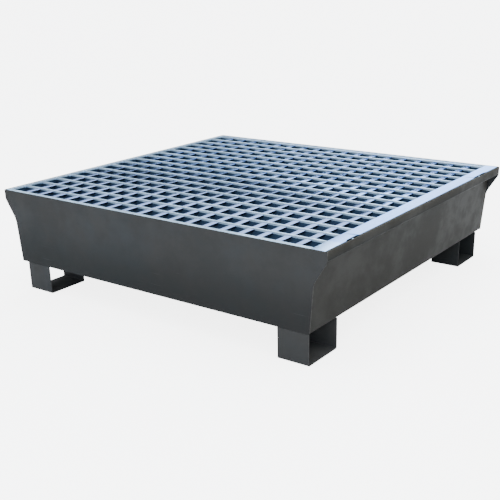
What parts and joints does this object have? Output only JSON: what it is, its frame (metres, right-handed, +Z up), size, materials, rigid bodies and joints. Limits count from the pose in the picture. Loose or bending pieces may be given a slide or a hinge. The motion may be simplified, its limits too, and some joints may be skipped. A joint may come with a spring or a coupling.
{
  "type": "spill containment pallet",
  "caption": "Low square steel sump tray on four open channel feet, with flared rim ends and a flush lift-out bar grating that carries drums above the sump.",
  "frame": {"origin": "on the ground, under the middle of the pallet's overall box", "axes": "+X along the front edge to the right, +Y from the front end plate to the rear one, +Z up"},
  "size_m": [1.34, 1.25, 0.355],
  "materials": {
    "painted_steel": "dark grey satin paint, slightly mottled, worn lighter along the sheet edges",
    "galvanised_steel": "dull blue-grey hot-dip galvanised steel, darker down the sides of the bars"
  },
  "bodies": {
    "tray": {"tray_trough": "painted_steel", "end_plate_front": "painted_steel", "end_plate_rear": "painted_steel", "foot_front_left": "painted_steel", "foot_front_right": "painted_steel", "foot_rear_left": "painted_steel", "foot_rear_right": "painted_steel"},
    "grating": {"grating_frame_front": "galvanised_steel", "grating_frame_left": "galvanised_steel", "grating_frame_rear": "galvanised_steel", "grating_frame_right": "galvanised_steel", "bearing_bar_01": "galvanised_steel", "bearing_bar_02": "galvanised_steel", "bearing_bar_03": "galvanised_steel", "bearing_bar_04": "galvanised_steel", "bearing_bar_05": "galvanised_steel", "bearing_bar_06": "galvanised_steel", "bearing_bar_07": "galvanised_steel", "bearing_bar_08": "galvanised_steel", "bearing_bar_09": "galvanised_steel", "bearing_bar_10": "galvanised_steel", "bearing_bar_11": "galvanised_steel", "bearing_bar_12": "galvanised_steel", "bearing_bar_13": "galvanised_steel", "bearing_bar_14": "galvanised_steel", "bearing_bar_15": "galvanised_steel", "bearing_bar_16": "galvanised_steel", "bearing_bar_17": "galvanised_steel", "cross_flat_01": "galvanised_steel", "cross_flat_02": "galvanised_steel", "cross_flat_03": "galvanised_steel", "cross_flat_04": "galvanised_steel", "cross_flat_05": "galvanised_steel", "cross_flat_06": "galvanised_steel", "cross_flat_07": "galvanised_steel", "cross_flat_08": "galvanised_steel", "cross_flat_09": "galvanised_steel", "cross_flat_10": "galvanised_steel", "cross_flat_11": "galvanised_steel", "cross_flat_12": "galvanised_steel", "cross_flat_13": "galvanised_steel", "cross_flat_14": "galvanised_steel", "cross_flat_15": "galvanised_steel", "cross_flat_16": "galvanised_steel", "cross_flat_17": "galvanised_steel", "cross_flat_18": "galvanised_steel"}
  },
  "joints": [
    {"name": "grating_lift", "type": "slide", "parent": "tray", "child": "grating", "axis": [0, 0, 1], "range_m": [0, 0.15]}
  ]
}
